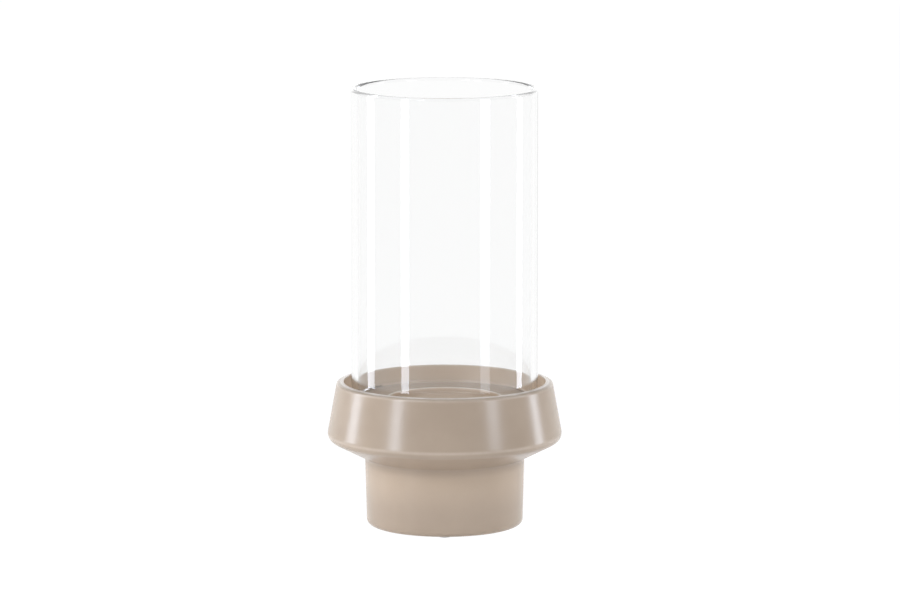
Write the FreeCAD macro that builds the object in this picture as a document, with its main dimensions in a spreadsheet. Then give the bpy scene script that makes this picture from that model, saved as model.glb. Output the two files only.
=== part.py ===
"""Hurricane candle lantern: a glazed ceramic base and a loose glass chimney.

The base is one slip-cast piece: a foot, a wider collar that leans inwards to its rim, a sunk tray
with a round recess for a pillar candle, and a hollow underside.  The chimney is an open glass tube
that stands on the tray floor inside the collar.  Three clear silicone pads are stuck under the foot.

Frame: millimetres, +Z up, origin on the lantern's axis at the level the pads stand on.
"""
import FreeCAD, Part
import os

import Sketcher

SIZES = [
    # Pads under the foot.
    ("pad_radius", 4.0, "clear silicone pad"),
    ("pad_thickness", 0.8, "the foot stands this far above the table"),
    ("pad_round", 0.3, "lower edge of a pad"),
    ("pad_circle_radius", 41.5, "the pads' centres lie on this circle"),
    # Outside of the base, with heights above the foot's underside.
    ("foot_bottom_radius", 50.2, "foot at the bottom"),
    ("foot_top_radius", 51.4, "foot where it meets the collar"),
    ("foot_height", 43.7, "height of the foot"),
    ("collar_radius", 76.0, "widest corner of the collar, before rounding"),
    ("collar_height", 56.3, "height of that corner"),
    ("shoulder_radius", 69.5, "outer corner of the rim"),
    ("shoulder_height", 92.0, "height of the rim's outer corner"),
    ("crest_radius", 65.0, "inner corner of the rim"),
    ("crest_height", 93.0, "height of the rim's inner corner, its highest line"),
    ("tray_radius", 64.0, "tray floor"),
    ("tray_height", 82.5, "height of the tray floor"),
    ("recess_radius", 36.5, "recess for a pillar candle of 70 mm"),
    ("recess_depth", 3.2, "depth of that recess below the tray floor"),
    # Roundings of the base.
    ("foot_round", 3.5, "outer edge of the foot's underside"),
    ("neck_round", 2.4, "inside corner between foot and collar"),
    ("collar_round", 5.8, "widest corner of the collar"),
    ("shoulder_round", 1.7, "outer corner of the rim"),
    ("crest_round", 0.5, "inner corner of the rim"),
    ("tray_round", 1.5, "corner of tray floor and wall"),
    ("recess_edge_round", 0.8, "upper edge of the candle recess"),
    ("recess_corner_round", 0.6, "lower corner of the candle recess"),
    # Hollow underside of the base.
    ("wall", 5.5, "thickness of the cast ceramic"),
    ("opening_radius", 34.0, "opening in the foot's underside"),
    ("opening_round", 1.0, "edges of that opening"),
    ("neck_rise", 3.3, "the hollow's neck lies this far above the foot's top"),
    ("flare_rise", 3.0, "the hollow's widest corner lies this far above the collar's"),
    ("flare_inset", 6.1, "and this far inside it"),
    ("hollow_top_radius", 67.0, "hollow at its ceiling"),
    ("hollow_round", 2.5, "other corners of the hollow"),
    # Glass chimney.
    ("chimney_radius", 60.0, "outside of the tube"),
    ("chimney_wall", 4.2, "thickness of the glass"),
    ("chimney_height", 200.0, "length of the tube"),
    ("chimney_round", 1.9, "fire-polished edges of both ends"),
]

PAD_ANGLES = {"foot_pad_front": -90, "foot_pad_right": 30, "foot_pad_left": 150}

UP = FreeCAD.Vector(0, 0, 1)

# Sketcher's numbers for a line's or an arc's two ends, for the sketch's origin and for its two axes.
START = 1
END = 2
ORIGIN = -1
HORIZONTAL_AXIS = -1
VERTICAL_AXIS = -2


def make_sheet(doc):
    """Spreadsheet of the driving dimensions: name, value and note, with the name as alias."""
    sheet = doc.addObject("Spreadsheet::Sheet", "Sizes")
    for row, (alias, value, note) in enumerate(SIZES, start=1):
        sheet.set(f"A{row}", alias)
        sheet.set(f"B{row}", str(value))
        sheet.set(f"C{row}", note)
        sheet.setAlias(f"B{row}", alias)
    doc.recompute()


def size(name):
    """Expression that reads one cell of the sheet."""
    return f"Sizes.{name}"


def origin_item(body, role):
    """One of the body's own origin planes or axes, such as XZ_Plane."""
    return next(item for item in body.Origin.OriginFeatures if item.Role == role)


def corner(radius, height, rounding=None):
    """Corner of a half section, as expressions.

    A radius of None lies on the axis, a height of None on the base plane, and a rounding of None
    leaves the corner sharp.
    """
    return radius, height, rounding


class RoundedCorner:
    """Arc that rounds the corner between two straight runs, worked out from the three corners."""

    def __init__(self, before, here, after, radius):
        back = (before - here).normalize()
        forth = (after - here).normalize()
        bisector = (back + forth).normalize()
        sine = (back - bisector * back.dot(bisector)).Length
        setback = radius * back.dot(bisector) / sine
        self.entry = here + back * setback
        self.exit = here + forth * setback
        self.middle = here + bisector * (radius / sine - radius)
        self.turns_left = back.cross(forth).z < 0

    def arc(self):
        """The arc, always counter-clockwise."""
        if self.turns_left:
            return Part.Arc(self.entry, self.middle, self.exit)
        return Part.Arc(self.exit, self.middle, self.entry)

    def ends(self):
        """Which end of the arc the outline enters by, and which it leaves by."""
        return (START, END) if self.turns_left else (END, START)


def hold(sketch, geometry, point, place, expressions):
    """Fix a point of the sketch at (radius, height), by expressions or on the sketch's axes."""
    axes = (VERTICAL_AXIS, HORIZONTAL_AXIS)
    kinds = ("DistanceX", "DistanceY")
    for axis, kind, value, expression in zip(axes, kinds, (place.x, place.y), expressions):
        if expression is None:
            sketch.addConstraint(Sketcher.Constraint("PointOnObject", geometry, point, axis))
        else:
            distance = Sketcher.Constraint(kind, ORIGIN, START, geometry, point, value)
            number = sketch.addConstraint(distance)
            sketch.setExpression(f"Constraints[{number}]", expression)


def half_section(body, name, corners):
    """Closed outline in the body's XZ plane: straight runs between corners, rounded where asked."""
    sketch = body.newObject("Sketcher::SketchObject", name)
    sketch.AttachmentSupport = [(origin_item(body, "XZ_Plane"), "")]
    sketch.MapMode = "FlatFace"

    count = len(corners)
    places = []
    for radius, height, _ in corners:
        x = body.evalExpression(radius) if radius else 0
        y = body.evalExpression(height) if height else 0
        places.append(FreeCAD.Vector(x, y, 0))
    rounds = {}
    for i, (_, _, rounding) in enumerate(corners):
        if rounding:
            neighbours = places[i - 1], places[i], places[(i + 1) % count]
            rounds[i] = RoundedCorner(*neighbours, body.evalExpression(rounding))

    # Line i runs from corner i to the next one.
    for i in range(count):
        following = (i + 1) % count
        start = rounds[i].exit if i in rounds else places[i]
        end = rounds[following].entry if following in rounds else places[following]
        sketch.addGeometry(Part.LineSegment(start, end), False)

    for i, (radius, height, rounding) in enumerate(corners):
        line_before = (i - 1) % count
        if not rounding:
            sketch.addConstraint(Sketcher.Constraint("Coincident", line_before, END, i, START))
            hold(sketch, i, START, places[i], (radius, height))
            continue
        arc = sketch.addGeometry(rounds[i].arc(), False)
        entered_by, left_by = rounds[i].ends()
        sketch.addConstraint(Sketcher.Constraint("Tangent", line_before, END, arc, entered_by))
        sketch.addConstraint(Sketcher.Constraint("Tangent", i, START, arc, left_by))
        curvature = sketch.addConstraint(Sketcher.Constraint("Radius", arc, sketch.Geometry[arc].Radius))
        sketch.setExpression(f"Constraints[{curvature}]", rounding)
        # The corner itself stays in the sketch as a point where the two lines would meet.
        tip = sketch.addGeometry(Part.Point(places[i]), True)
        sketch.addConstraint(Sketcher.Constraint("PointOnObject", tip, START, line_before))
        sketch.addConstraint(Sketcher.Constraint("PointOnObject", tip, START, i))
        hold(sketch, tip, START, places[i], (radius, height))
    return sketch


def turn(body, kind, name, corners):
    """Full turn of a half section about the body's Z axis: a Revolution adds, a Groove cuts."""
    sketch = half_section(body, f"{name}_outline", corners)
    feature = body.newObject(kind, name)
    feature.Profile = sketch
    feature.ReferenceAxis = (origin_item(body, "Z_Axis"), [""])
    feature.Angle = 360
    body.Document.recompute()
    return feature


def make_body(doc, label):
    body = doc.addObject("PartDesign::Body", label)
    body.Label = label
    return body


def ceramic_base(doc):
    """Foot, collar, tray and candle recess in one casting, hollow from below."""
    body = make_body(doc, "ceramic_base")
    body.setExpression(".Placement.Base.z", size("pad_thickness"))
    recess_floor = f"{size('tray_height')} - {size('recess_depth')}"
    outside = [
        corner(None, None),
        corner(size("foot_bottom_radius"), None, size("foot_round")),
        corner(size("foot_top_radius"), size("foot_height"), size("neck_round")),
        corner(size("collar_radius"), size("collar_height"), size("collar_round")),
        corner(size("shoulder_radius"), size("shoulder_height"), size("shoulder_round")),
        corner(size("crest_radius"), size("crest_height"), size("crest_round")),
        corner(size("tray_radius"), size("tray_height"), size("tray_round")),
        corner(size("recess_radius"), size("tray_height"), size("recess_edge_round")),
        corner(size("recess_radius"), recess_floor, size("recess_corner_round")),
        corner(None, recess_floor),
    ]
    form = turn(body, "PartDesign::Revolution", "base_form", outside)

    ceiling = f"{recess_floor} - {size('wall')}"
    foot_inside = f"{size('foot_bottom_radius')} - {size('wall')}"
    neck_inside = f"{size('foot_top_radius')} - {size('wall')}"
    neck_height = f"{size('foot_height')} + {size('neck_rise')}"
    flare_radius = f"{size('collar_radius')} - {size('flare_inset')}"
    flare_height = f"{size('collar_height')} + {size('flare_rise')}"
    inside = [
        corner(None, None),
        corner(size("opening_radius"), None),
        corner(size("opening_radius"), size("wall"), size("opening_round")),
        corner(foot_inside, size("wall"), size("hollow_round")),
        corner(neck_inside, neck_height, size("hollow_round")),
        corner(flare_radius, flare_height, size("hollow_round")),
        corner(size("hollow_top_radius"), ceiling, size("hollow_round")),
        corner(None, ceiling),
    ]
    hollow = turn(body, "PartDesign::Groove", "underside_hollow", inside)
    if not hollow.Shape.Volume < form.Shape.Volume:
        raise RuntimeError("the underside hollow cut nothing")

    opening_rim = [
        corner(size("opening_radius"), None),
        corner(f"{size('opening_radius')} + {size('opening_round')}", None),
        corner(size("opening_radius"), size("opening_round")),
    ]
    turn(body, "PartDesign::Groove", "opening_bevel", opening_rim)
    return body


def glass_chimney(doc):
    """Open glass tube with rounded ends, standing on the tray floor."""
    body = make_body(doc, "glass_chimney")
    body.setExpression(".Placement.Base.z", f"{size('pad_thickness')} + {size('tray_height')}")
    inner_radius = f"{size('chimney_radius')} - {size('chimney_wall')}"
    tube = [
        corner(inner_radius, None, size("chimney_round")),
        corner(size("chimney_radius"), None, size("chimney_round")),
        corner(size("chimney_radius"), size("chimney_height"), size("chimney_round")),
        corner(inner_radius, size("chimney_height"), size("chimney_round")),
    ]
    turn(body, "PartDesign::Revolution", "tube", tube)
    return body


def foot_pad(doc, label, angle):
    """Flat round pad under the foot, its lower edge rounded."""
    body = make_body(doc, label)
    disc = [
        corner(None, None),
        corner(size("pad_radius"), None, size("pad_round")),
        corner(size("pad_radius"), size("pad_thickness")),
        corner(None, size("pad_thickness")),
    ]
    turn(body, "PartDesign::Revolution", f"{label}_disc", disc)
    body.setExpression(".Placement.Base.x", f"{size('pad_circle_radius')} * cos({angle} deg)")
    body.setExpression(".Placement.Base.y", f"{size('pad_circle_radius')} * sin({angle} deg)")
    return body


def check(doc, bodies):
    """Stop before anything is written if an object failed or a body is not one valid solid."""
    for item in doc.Objects:
        if {"Invalid", "Error"} & set(item.State):
            raise RuntimeError(f"{item.Label} failed: {item.State}")
    for body in bodies:
        shape = body.Shape
        if shape.isNull() or not shape.isValid() or len(shape.Solids) != 1:
            raise RuntimeError(f"{body.Label} is not one valid solid")


def main():
    doc = FreeCAD.newDocument("hurricane_lantern")
    make_sheet(doc)
    bodies = [ceramic_base(doc), glass_chimney(doc)]
    for label, angle in PAD_ANGLES.items():
        bodies.append(foot_pad(doc, label, angle))
    doc.recompute()
    check(doc, bodies)
    os.makedirs("parts", exist_ok=True)
    for body in bodies:
        body.Shape.exportStep(f"parts/{body.Label}.step")


main()
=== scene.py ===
"""Looks for the hurricane candle lantern: a glazed ceramic base, a clear glass chimney and three pads.

Every length is in metres, in the CAD's frame: +Z up, -Y towards the viewer, origin on the axis at the
level the pads stand on.
"""
import math

import bpy
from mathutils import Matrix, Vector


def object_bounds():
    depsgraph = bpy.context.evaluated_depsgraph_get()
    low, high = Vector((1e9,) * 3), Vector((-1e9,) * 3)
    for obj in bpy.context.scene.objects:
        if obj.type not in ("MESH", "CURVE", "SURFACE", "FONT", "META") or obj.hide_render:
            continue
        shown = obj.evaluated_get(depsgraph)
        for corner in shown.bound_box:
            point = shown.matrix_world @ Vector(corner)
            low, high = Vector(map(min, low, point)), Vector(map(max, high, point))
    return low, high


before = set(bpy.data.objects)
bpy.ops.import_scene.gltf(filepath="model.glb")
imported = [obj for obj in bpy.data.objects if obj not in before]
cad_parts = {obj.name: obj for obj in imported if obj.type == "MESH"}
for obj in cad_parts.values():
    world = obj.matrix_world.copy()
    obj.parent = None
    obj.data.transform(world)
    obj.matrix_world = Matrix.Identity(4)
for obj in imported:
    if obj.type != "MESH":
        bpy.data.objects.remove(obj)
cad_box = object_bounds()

MM = 0.001

# ---------------------------------------------------------------------------------------------------
# Helpers for node trees
# ---------------------------------------------------------------------------------------------------


class Nodes:
    """Builds the node tree of one material or world."""

    def __init__(self, owner):
        owner.use_nodes = True
        self.tree = owner.node_tree
        self.tree.nodes.clear()

    def add(self, kind, settings=None, **inputs):
        """A node of that kind, with its settings, and its inputs given as values or as outputs to link."""
        node = self.tree.nodes.new("ShaderNode" + kind)
        for name, value in (settings or {}).items():
            setattr(node, name, value)
        for name, value in inputs.items():
            self.feed(node.inputs[name.replace("_", " ")], value)
        return node

    def feed(self, socket, value):
        """Links an output to a socket, or sets the socket to a value."""
        if isinstance(value, bpy.types.NodeSocket):
            self.tree.links.new(value, socket)
        elif isinstance(value, tuple) and len(value) == 3 and socket.type == "RGBA":
            socket.default_value = (*value, 1.0)
        else:
            socket.default_value = value

    def math(self, operation, first, second, clamp=False):
        node = self.add("Math", {"operation": operation, "use_clamp": clamp})
        self.feed(node.inputs[0], first)
        self.feed(node.inputs[1], second)
        return node.outputs[0]

    def product(self, first, second):
        return self.math("MULTIPLY", first, second)

    def vector(self, operation, first, second=(0.0, 0.0, 0.0)):
        node = self.add("VectorMath", {"operation": operation})
        self.feed(node.inputs[0], first)
        self.feed(node.inputs[1], second)
        return node.outputs["Value" if operation in ("DOT_PRODUCT", "LENGTH") else "Vector"]

    def noise(self, place, size, detail=2.0, roughness=0.5):
        """Noise from 0 to 1, with features about that size."""
        node = self.add("TexNoise", Vector=place, Scale=1.0 / size, Detail=detail, Roughness=roughness)
        return node.outputs["Fac"]

    def fade(self, value, start, end, low=0.0, high=1.0):
        """A smooth change from low to high while value goes from start to end."""
        node = self.add("MapRange", {"interpolation_type": "SMOOTHSTEP"})
        self.feed(node.inputs["Value"], value)
        for name, number in (("From Min", start), ("From Max", end), ("To Min", low), ("To Max", high)):
            self.feed(node.inputs[name], number)
        return node.outputs["Result"]

    def blend(self, share, first, second):
        """A mix of two colours, by share."""
        node = self.add("Mix", {"data_type": "RGBA", "clamp_factor": True})
        self.feed(node.inputs[0], share)
        self.feed(node.inputs[6], first)
        self.feed(node.inputs[7], second)
        return node.outputs[2]

    def bump(self, height, depth, under=None):
        """A bump of that depth for a height of 1, on top of another one."""
        node = self.add("Bump", Strength=1.0, Distance=depth, Height=height)
        if under is not None:
            self.feed(node.inputs["Normal"], under)
        return node.outputs["Normal"]

    def mix(self, share, first, second):
        """A mix of two shaders, by share."""
        node = self.add("MixShader")
        for socket, value in zip(node.inputs, (share, first, second)):
            self.feed(socket, value)
        return node.outputs[0]

    def show(self, shader, kind="Material"):
        """Puts the shader on the material's or the world's surface."""
        output = self.add("Output" + kind)
        self.feed(output.inputs["Surface"], shader)


def material(name):
    made = bpy.data.materials.new(name)
    return made, Nodes(made)


def dress(node, made):
    """Puts a material on every slot of a CAD node."""
    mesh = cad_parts[node].data
    for index in range(len(mesh.materials)):
        mesh.materials[index] = made


# ---------------------------------------------------------------------------------------------------
# Taupe glaze, with bare clay under the foot and inside the hollow
# ---------------------------------------------------------------------------------------------------

# Circles round the axis, as radius and height in millimetres. Over the rim's outer edge and the collar's
# widest
# edge the glaze is paler: partly fired glaze run thin, partly a painted highlight ...
THIN_GLAZE_HIGHLIGHT_RINGS = ((69.4, 92.3), (75.0, 59.6))
THIN_GLAZE_HIGHLIGHT_WIDTH = 1.6 * MM
# ... palest over the rim's top and the recess's edge: a painted highlight and reflection, partly glaze at
# its thinnest ...
SHARP_HIGHLIGHT_RINGS = ((65.3, 93.6), (66.6, 93.5), (37.0, 83.2))
SHARP_HIGHLIGHT_WIDTH = 1.3 * MM
# ... and it is darker in the neck, the tray's corner and the recess's corner.
DARK_CORNER_RINGS = ((52.0, 44.6), (63.9, 83.7), (36.3, 80.3))
DARK_CORNER_WIDTH = 2.2 * MM
DARK_CORNER_SHARE = 0.35

# Radii between which the tray's wall lies, and inside which the recess lies, with their soft edges.
WALL_INNER = (62 * MM, 64 * MM)
WALL_OUTER = (64.7 * MM, 65.5 * MM)
RECESS_OUTER = (36.2 * MM, 36.9 * MM)
TRAY_BOTTOM = 79 * MM
WALL_LIGHT_SHARE = 0.85
# Heights over which painted light makes the glaze paler up the foot, fading again below the collar.
WAIST_RISE = (12 * MM, 36 * MM)
WAIST_FALL = (38 * MM, 44 * MM)
WAIST_LIGHT_SHARE = 0.46

# The hollow lies below this height, and its walls and the foot's underside face away from outwards.
HOLLOW_CEILING = 76 * MM
OUTWARD_WIPED = (0.40, 0.47)
WIPED_WANDER = 0.12

CLOUD_SIZE = 38 * MM
DRIFT_SIZE = 6 * MM
GRAIN_SIZE = 0.7 * MM
GRAIN_SHARE = 0.22

GLAZE = (0.466, 0.358, 0.263)
GLAZE_DEEP = (0.440, 0.336, 0.246)
GLAZE_PAINTED_LIGHT = (0.63, 0.478, 0.341)
GLAZE_THIN_HIGHLIGHT = (0.58, 0.465, 0.36)
GLAZE_SHARP_HIGHLIGHT = (0.82, 0.72, 0.62)
GLAZE_DARK = (0.35, 0.265, 0.195)
CLAY = (0.60, 0.53, 0.44)
CLAY_DARK = (0.50, 0.43, 0.34)
CLAY_ROUGHER = 0.55


def ring_nearness(n, radius, height, rings, width):
    """1 on any of the rings, falling to 0 at that distance from them."""
    nearest = None
    for ring_radius, ring_height in rings:
        across = n.math("SUBTRACT", radius, ring_radius * MM)
        along = n.math("SUBTRACT", height, ring_height * MM)
        square = n.math("ADD", n.product(across, across), n.product(along, along))
        away = n.math("SQRT", square, 0.0)
        nearest = away if nearest is None else n.math("MINIMUM", nearest, away)
    return n.fade(nearest, 0.0, width, 1.0, 0.0)


def painted_light_places(n, radius, height):
    """How much painted light makes the glaze paler: fully in the recess, less on the tray's wall and the
    foot.
    """
    wall = n.product(n.fade(radius, *WALL_INNER), n.fade(radius, *WALL_OUTER, 1.0, 0.0))
    recess = n.fade(radius, *RECESS_OUTER, 1.0, 0.0)
    inside = n.math("ADD", n.product(wall, WALL_LIGHT_SHARE), recess)
    inside = n.product(inside, n.math("GREATER_THAN", height, TRAY_BOTTOM))
    waist = n.product(n.fade(height, *WAIST_RISE), n.fade(height, *WAIST_FALL, 1.0, 0.0))
    return n.math("ADD", inside, n.product(waist, WAIST_LIGHT_SHARE))


def glazed_ceramic():
    made, n = material("taupe_glaze_fired")
    coordinates = n.add("TexCoord")
    place = coordinates.outputs["Object"]
    height = n.add("SeparateXYZ", Vector=place).outputs["Z"]
    flat_place = n.vector("MULTIPLY", place, (1.0, 1.0, 0.0))
    radius = n.vector("LENGTH", flat_place)
    outward = n.vector("DOT_PRODUCT", n.vector("NORMALIZE", flat_place), coordinates.outputs["Normal"])

    cloud = n.noise(place, CLOUD_SIZE, 3.0, 0.55)
    drift = n.noise(place, DRIFT_SIZE, 3.0, 0.6)
    grain = n.noise(place, GRAIN_SIZE, 2.0, 0.6)

    # Glaze colour: slow clouds, painted light in the tray and up the foot, thin glaze with painted
    # highlights on edges, darker corners and a fine mineral grain.
    thin_highlight = ring_nearness(n, radius, height, THIN_GLAZE_HIGHLIGHT_RINGS, THIN_GLAZE_HIGHLIGHT_WIDTH)
    sharp_highlight = ring_nearness(n, radius, height, SHARP_HIGHLIGHT_RINGS, SHARP_HIGHLIGHT_WIDTH)
    dark_corner = ring_nearness(n, radius, height, DARK_CORNER_RINGS, DARK_CORNER_WIDTH)
    colour = n.blend(n.fade(cloud, 0.3, 0.7), GLAZE_DEEP, GLAZE)
    # Painted light: the glaze is paler in the recess, on the tray's wall and up the foot, standing in for
    # light that reaches them.
    colour = n.blend(painted_light_places(n, radius, height), colour, GLAZE_PAINTED_LIGHT)
    # Painted highlight, partly thin glaze: paler over the rim's outer edge and the collar's widest edge.
    colour = n.blend(n.product(thin_highlight, n.fade(drift, 0.2, 0.8, 0.5, 0.85)), colour, GLAZE_THIN_HIGHLIGHT)
    # Painted highlight and reflection, partly thin glaze, over the rim's top and the recess's edge.
    colour = n.blend(n.product(sharp_highlight, n.fade(drift, 0.3, 0.7, 0.45, 0.75)), colour, GLAZE_SHARP_HIGHLIGHT)
    # Darker in the neck, the tray's corner and the recess's corner.
    colour = n.blend(n.product(dark_corner, DARK_CORNER_SHARE), colour, GLAZE_DARK)
    colour = n.blend(n.fade(grain, 0.60, 0.78, 0.0, GRAIN_SHARE), colour, GLAZE_DARK)

    # Bare clay: the glaze was wiped off the foot's underside and never reached the hollow.
    below = n.math("LESS_THAN", height, HOLLOW_CEILING)
    wander = n.math("ADD", outward, n.product(drift, WIPED_WANDER))
    bare = n.product(below, n.fade(wander, *OUTWARD_WIPED, 1.0, 0.0))
    clay = n.blend(n.fade(n.noise(place, 2.5 * MM, 5.0, 0.65), 0.35, 0.7), CLAY, CLAY_DARK)
    colour = n.blend(bare, colour, clay)

    smooth = n.fade(cloud, 0.25, 0.75, 0.215, 0.24)
    rough = n.math("ADD", smooth, n.fade(drift, 0.3, 0.8, 0.0, 0.025))
    rough = n.math("ADD", rough, n.product(bare, CLAY_ROUGHER), clamp=True)

    # The glaze's faint orange peel in two sizes, and the clay's grit.
    normal = n.bump(n.noise(place, 9 * MM, 1.0), 0.018 * MM)
    normal = n.bump(n.noise(place, 2.2 * MM, 2.0), 0.0025 * MM, normal)
    normal = n.bump(n.product(grain, bare), 0.05 * MM, normal)

    shader = n.add("BsdfPrincipled", Base_Color=colour, Roughness=rough, IOR=1.5, Normal=normal)
    n.show(shader.outputs[0])
    return made


# ---------------------------------------------------------------------------------------------------
# Clear glass and silicone
# ---------------------------------------------------------------------------------------------------

GLASS = (0.970, 0.972, 0.971)
# After this many bounces, light in the glass wall leaves it, with this much of it left.
CARRIED_BOUNCES = 7.5
CARRIED_KEPT = 0.62

SILICONE = (0.80, 0.81, 0.80)
SILICONE_CLOUDY = (0.66, 0.66, 0.64)


def clear_glass():
    made, n = material("clear_glass_drawn")
    place = n.add("TexCoord").outputs["Object"]
    # A drawn tube: its surface waves slowly round the tube and even more slowly along it.
    stretched = n.vector("MULTIPLY", place, (1.0, 1.0, 0.25))
    waves = n.bump(n.noise(stretched, 45 * MM, 0.0), 0.01 * MM)
    # A trace of roughness where the glass has been handled.
    smear = n.fade(n.noise(place, 25 * MM, 4.0, 0.6), 0.55, 0.8, 0.0, 0.012)
    shader = n.add("BsdfPrincipled", Base_Color=GLASS, Roughness=smear, IOR=1.5, Normal=waves)
    shader.inputs["Transmission Weight"].default_value = 1.0
    # Lamps and soft light pass straight through, which keeps the inside of the tray free of noise.
    path = n.add("LightPath").outputs
    passing = n.math("MAXIMUM", path["Is Shadow Ray"], path["Is Diffuse Ray"])
    # Light that the wall would carry round and round leaves it dimmed, so that the rims are grey lines.
    carried = n.math("GREATER_THAN", path["Ray Depth"], CARRIED_BOUNCES)
    passing = n.math("MAXIMUM", passing, carried)
    kept = n.fade(carried, 0.0, 1.0, 1.0, CARRIED_KEPT)
    straight = n.add("BsdfTransparent", Color=kept).outputs[0]
    n.show(n.mix(passing, shader.outputs[0], straight))
    return made


def silicone():
    made, n = material("clear_silicone_pad")
    place = n.add("TexCoord").outputs["Object"]
    haze = n.noise(place, 1.5 * MM, 3.0, 0.6)
    colour = n.blend(n.fade(haze, 0.3, 0.75), SILICONE, SILICONE_CLOUDY)
    rough = n.fade(haze, 0.2, 0.8, 0.38, 0.55)
    bump = n.bump(n.noise(place, 0.25 * MM, 2.0), 0.01 * MM)
    shader = n.add("BsdfPrincipled", Base_Color=colour, Roughness=rough, IOR=1.41, Normal=bump)
    shader.inputs["Transmission Weight"].default_value = 0.45
    n.show(shader.outputs[0])
    return made


dress("ceramic_base", glazed_ceramic())
dress("glass_chimney", clear_glass())
pad_material = silicone()
for pad in ("foot_pad_front", "foot_pad_right", "foot_pad_left"):
    dress(pad, pad_material)

# ---------------------------------------------------------------------------------------------------
# Floor, lights and camera
# ---------------------------------------------------------------------------------------------------

FLOOR_RADIUS = 6.0
FLOOR_SIDES = 128
# What the floor's soft light on the lantern comes from ...
FLOOR_ALBEDO = 0.85
FLOOR_BOUNCE = 0.12
# ... and what is seen of the floor itself.
FLOOR_SHADOW = 0.08
FLOOR_GLOW = 1.0

# Parts of a direction's unit vector at which the dome's bright back and its top begin and are full.
BACK_DEPTH = (0.75, 0.97)
BACK_HEIGHT = (0.25, 0.50)
TOP_HEIGHT = (0.35, 0.95)

LAMP_COLOUR = (0.93, 1.0, 1.12)
STRIP_TOP = 0.55
STRIP_DISTANCE = 0.52
COLLAR_LEVEL = 0.07


def even_white():
    """A pale floor that looks evenly lit, also in the glass, and shows only a faint shadow."""
    made, n = material("pale_floor")
    made.cycles.emission_sampling = "NONE"
    path = n.add("LightPath").outputs
    seen = n.math("SUBTRACT", 1.0, path["Is Diffuse Ray"])
    albedo = n.fade(seen, 0.0, 1.0, FLOOR_ALBEDO, FLOOR_SHADOW)
    glow = n.fade(seen, 0.0, 1.0, FLOOR_BOUNCE, FLOOR_GLOW)
    both = n.add("AddShader")
    n.feed(both.inputs[0], n.add("BsdfDiffuse", Color=albedo).outputs[0])
    n.feed(both.inputs[1], n.add("Emission", Strength=glow).outputs[0])
    # From below, the floor lets the view through to the lantern's underside.
    away = n.add("NewGeometry").outputs["Backfacing"]
    through = n.product(away, path["Is Camera Ray"])
    n.show(n.mix(through, both.outputs[0], n.add("BsdfTransparent").outputs[0]))
    return made


def pale_floor():
    rim = []
    for step in range(FLOOR_SIDES):
        angle = 2 * math.pi * step / FLOOR_SIDES
        rim.append((FLOOR_RADIUS * math.cos(angle), FLOOR_RADIUS * math.sin(angle), cad_box[0][2]))
    mesh = bpy.data.meshes.new("floor")
    mesh.from_pydata(rim, [], [list(range(FLOOR_SIDES))])
    floor = bpy.data.objects.new("floor", mesh)
    bpy.context.scene.collection.objects.link(floor)
    mesh.materials.append(even_white())


def dome(around, behind, above, seen):
    """A pale surround: brightest behind the lantern, and plain where it is seen, also through the glass."""
    world = bpy.data.worlds.new("studio")
    bpy.context.scene.world = world
    n = Nodes(world)
    direction = n.add("SeparateXYZ", Vector=n.add("TexCoord").outputs["Generated"]).outputs
    back = n.product(n.fade(direction["Y"], *BACK_DEPTH), n.fade(direction["Z"], *BACK_HEIGHT, 1.0, 0.0))
    top = n.fade(direction["Z"], *TOP_HEIGHT)
    level = n.math("ADD", n.product(back, behind - around), around)
    level = n.math("ADD", level, n.product(top, above - around))
    path = n.add("LightPath").outputs
    direct = n.math("MAXIMUM", path["Is Camera Ray"], path["Is Transmission Ray"])
    level = n.math("MAXIMUM", level, n.product(direct, seen))
    background = n.add("Background", Color=(1.0, 1.0, 1.0), Strength=level)
    n.show(background.outputs[0], "World")


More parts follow.
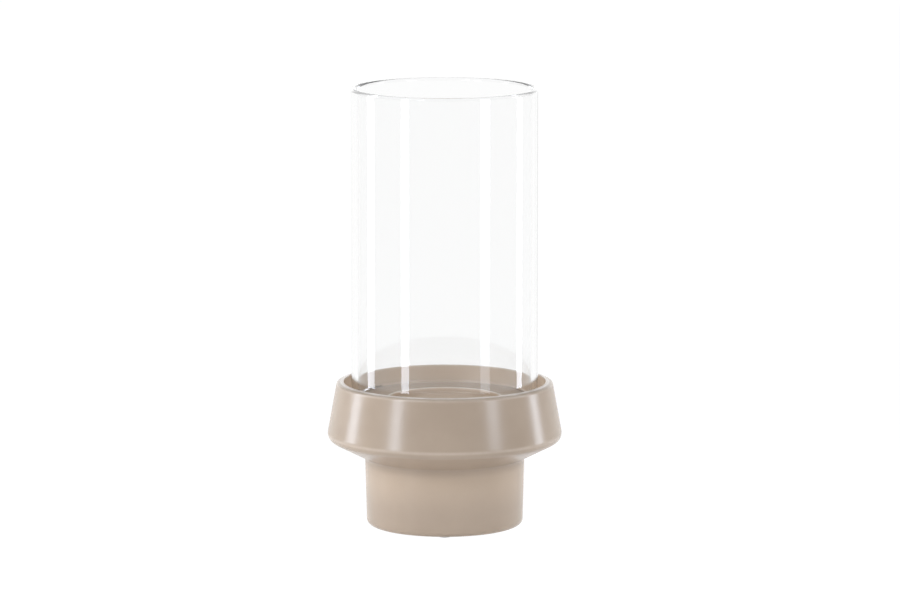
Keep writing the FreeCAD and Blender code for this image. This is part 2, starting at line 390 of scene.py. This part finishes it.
def lamp(name, bearing, distance, height, width, length, radiance, climb=0.0):
    """A soft upright light that faces the lantern's axis, or looks down at it by the angle climb.

    bearing is in degrees round the axis from the viewer's side, positive to the right.
    """
    data = bpy.data.lights.new(name, "AREA")
    data.shape = "RECTANGLE"
    data.size = width
    data.size_y = length
    data.energy = radiance * math.pi * width * length
    data.color = LAMP_COLOUR
    light = bpy.data.objects.new(name, data)
    angle = math.radians(bearing)
    light.location = (distance * math.sin(angle), -distance * math.cos(angle), height)
    light.rotation_euler = (math.radians(90) - climb, 0.0, angle)
    light.visible_camera = False
    light.visible_transmission = False
    bpy.context.scene.collection.objects.link(light)


def strip_light(name, bearing, width, radiance, bottom=0.0, top=STRIP_TOP):
    """An upright strip close to the lantern."""
    lamp(name, bearing, STRIP_DISTANCE, (bottom + top) / 2, width, top - bottom, radiance)


def soft_box(name, bearing, distance, height, size, radiance):
    """A square soft box, which faces the lantern's collar."""
    climb = math.atan2(height - COLLAR_LEVEL, distance)
    lamp(name, bearing, distance, height, size, size, radiance, climb)


def camera():
    data = bpy.data.cameras.new("camera")
    data.sensor_width = 36.0
    data.lens = 214.3
    data.clip_start = 0.1
    data.clip_end = 30.0
    pitch = math.radians(8.88)
    distance = 3.437
    aim_side = 0.0034
    aim_height = 0.1462
    view = bpy.data.objects.new("camera", data)
    view.location = (aim_side, -distance * math.cos(pitch), aim_height + distance * math.sin(pitch))
    view.rotation_euler = (math.radians(90) - pitch, 0.0, 0.0)
    bpy.context.scene.collection.objects.link(view)
    bpy.context.scene.camera = view


def render_settings():
    """Enough bounces for the glass wall, and the colours as they are."""
    cycles = bpy.context.scene.cycles
    cycles.max_bounces = 24
    cycles.transmission_bounces = 24
    cycles.glossy_bounces = 16
    cycles.caustics_refractive = False
    cycles.caustics_reflective = False
    cycles.use_denoising = True
    bpy.context.scene.view_settings.view_transform = "Standard"


pale_floor()
dome(around=0.18, behind=1.60, above=0.10, seen=1.1)
strip_light("left_rear", -98, 0.12, 7.2)
strip_light("left_front", -47, 0.09, 9.0)
strip_light("right_front_low", 48, 0.11, 2.6, top=0.15)
strip_light("right_front_high", 48, 0.11, 8.0, bottom=0.15)
strip_light("right_rear", 100, 0.09, 7.5)
soft_box("high_left", -32, distance=1.3, height=1.0, size=0.26, radiance=15.0)
camera()
render_settings()
